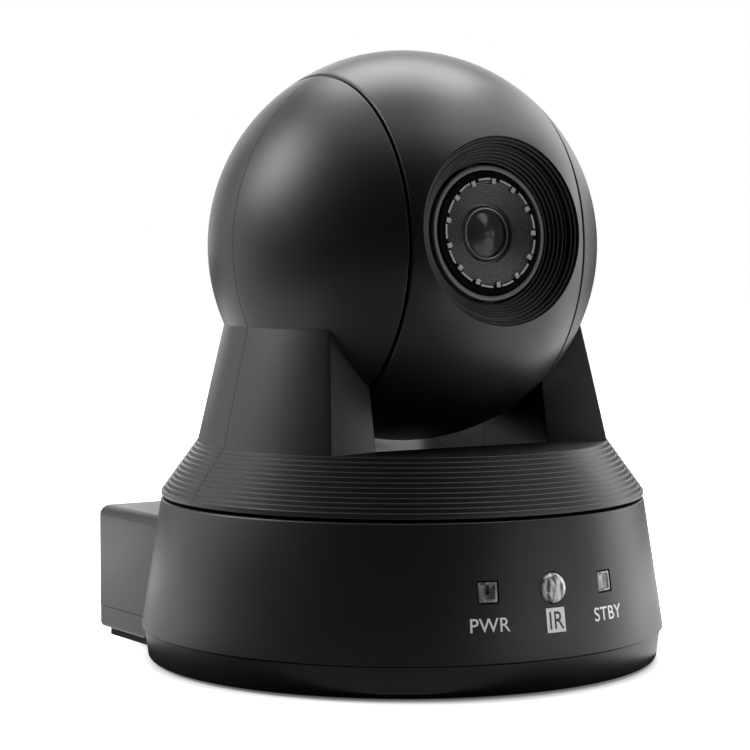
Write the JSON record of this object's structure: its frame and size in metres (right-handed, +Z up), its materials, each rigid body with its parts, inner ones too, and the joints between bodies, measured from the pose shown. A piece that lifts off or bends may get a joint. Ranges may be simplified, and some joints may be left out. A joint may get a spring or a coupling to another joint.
{
  "type": "ptz camera",
  "caption": "Tabletop pan, tilt and zoom camera: a ball head between two yoke arms on a round turntable base with a rear connector block.",
  "frame": {"origin": "on the pan axis, at the resting plane under the base", "axes": "+Z up along the pan axis, -Y towards the lens, +Y towards the connector block"},
  "size_m": [0.15, 0.152, 0.1734],
  "materials": {
    "black_abs": "moulded black ABS with a fine spark texture",
    "black_polycarbonate": "smooth black polycarbonate, half matte",
    "grey_acrylic": "frosted grey light window",
    "smoked_acrylic": "polished smoked acrylic that passes infrared",
    "satin_ring": "satin grey ring",
    "coated_glass": "dark coated lens glass",
    "zinc_steel": "zinc plated steel",
    "painted_steel": "sheet steel, powder coated black",
    "brass": "turned brass",
    "rubber": "matte black rubber",
    "circuit_board": "green solder mask",
    "white_acetal": "moulded natural acetal"
  },
  "bodies": {
    "base": {"base_housing": "black_abs", "bottom_tray": "black_abs", "bottom_plate": "painted_steel", "foot_ring": "rubber", "tripod_insert": "brass", "tray_screw_1": "zinc_steel", "tray_screw_2": "zinc_steel", "tray_screw_3": "zinc_steel", "tray_screw_4": "zinc_steel", "rear_panel": "black_polycarbonate", "main_board": "circuit_board", "lan_socket": "zinc_steel", "hdmi_socket": "zinc_steel", "usb_socket": "zinc_steel", "dc_jack": "black_polycarbonate", "serial_socket": "black_polycarbonate", "power_window": "grey_acrylic", "standby_window": "grey_acrylic", "receiver_window": "smoked_acrylic", "indicator_board": "circuit_board", "power_led": "grey_acrylic", "standby_led": "grey_acrylic", "ir_receiver": "black_polycarbonate", "pan_bearing_outer": "zinc_steel", "pan_motor": "zinc_steel"},
    "pan": {"yoke_front_shell": "black_abs", "yoke_rear_shell": "black_abs", "yoke_frame": "zinc_steel", "turntable_hub": "zinc_steel", "pan_gear": "white_acetal", "pan_bearing_inner": "zinc_steel", "hub_screw_1": "zinc_steel", "hub_screw_2": "zinc_steel", "hub_screw_3": "zinc_steel", "hub_screw_4": "zinc_steel", "tilt_bush_left": "white_acetal", "tilt_bush_right": "white_acetal", "tilt_motor": "zinc_steel"},
    "pan_drive": {"pan_pinion": "white_acetal", "pan_motor_shaft": "zinc_steel"},
    "head": {"head_front_shell": "black_abs", "head_rear_shell": "black_abs", "head_screw_1": "zinc_steel", "head_screw_2": "zinc_steel", "head_chassis": "zinc_steel", "tilt_axle_left": "zinc_steel", "tilt_axle_right": "zinc_steel", "tilt_gear": "white_acetal", "lens_trim_ring": "satin_ring", "lens_barrel": "black_polycarbonate", "front_glass": "coated_glass", "lens_tube": "black_polycarbonate", "sensor_board": "circuit_board", "image_sensor": "black_polycarbonate"},
    "tilt_drive": {"tilt_pinion": "white_acetal", "tilt_motor_shaft": "zinc_steel"},
    "zoom_carrier": {"zoom_group": "coated_glass"},
    "focus_carrier": {"focus_group": "coated_glass"}
  },
  "joints": [
    {"name": "pan", "type": "hinge", "parent": "base", "child": "pan", "pos_m": [0, 0, 0.05], "axis": [0, 0, 1], "range_deg": [-170, 170]},
    {"name": "tilt", "type": "hinge", "parent": "pan", "child": "head", "pos_m": [0, 0, 0.1177], "axis": [-1, 0, 0], "range_deg": [-35, 85]},
    {"name": "pan_pinion_spin", "type": "hinge", "parent": "base", "child": "pan_drive", "pos_m": [-0.03248, -0.01875, 0.033], "axis": [0, 0, 1], "range_deg": [-438, 438]},
    {"name": "tilt_pinion_spin", "type": "hinge", "parent": "pan", "child": "tilt_drive", "pos_m": [0.0365, 0, 0.08645], "axis": [-1, 0, 0], "range_deg": [-219, 91]},
    {"name": "zoom", "type": "slide", "parent": "head", "child": "zoom_carrier", "axis": [0, -0.9964, 0.0847], "range_m": [-0.008, 0.01]},
    {"name": "focus", "type": "slide", "parent": "head", "child": "focus_carrier", "axis": [0, -0.9964, 0.0847], "range_m": [-0.004, 0.004]}
  ],
  "couplings": [
    {"joint": "pan_pinion_spin", "follows": "pan", "ratio": -2.5714},
    {"joint": "tilt_pinion_spin", "follows": "tilt", "ratio": -2.5714}
  ]
}
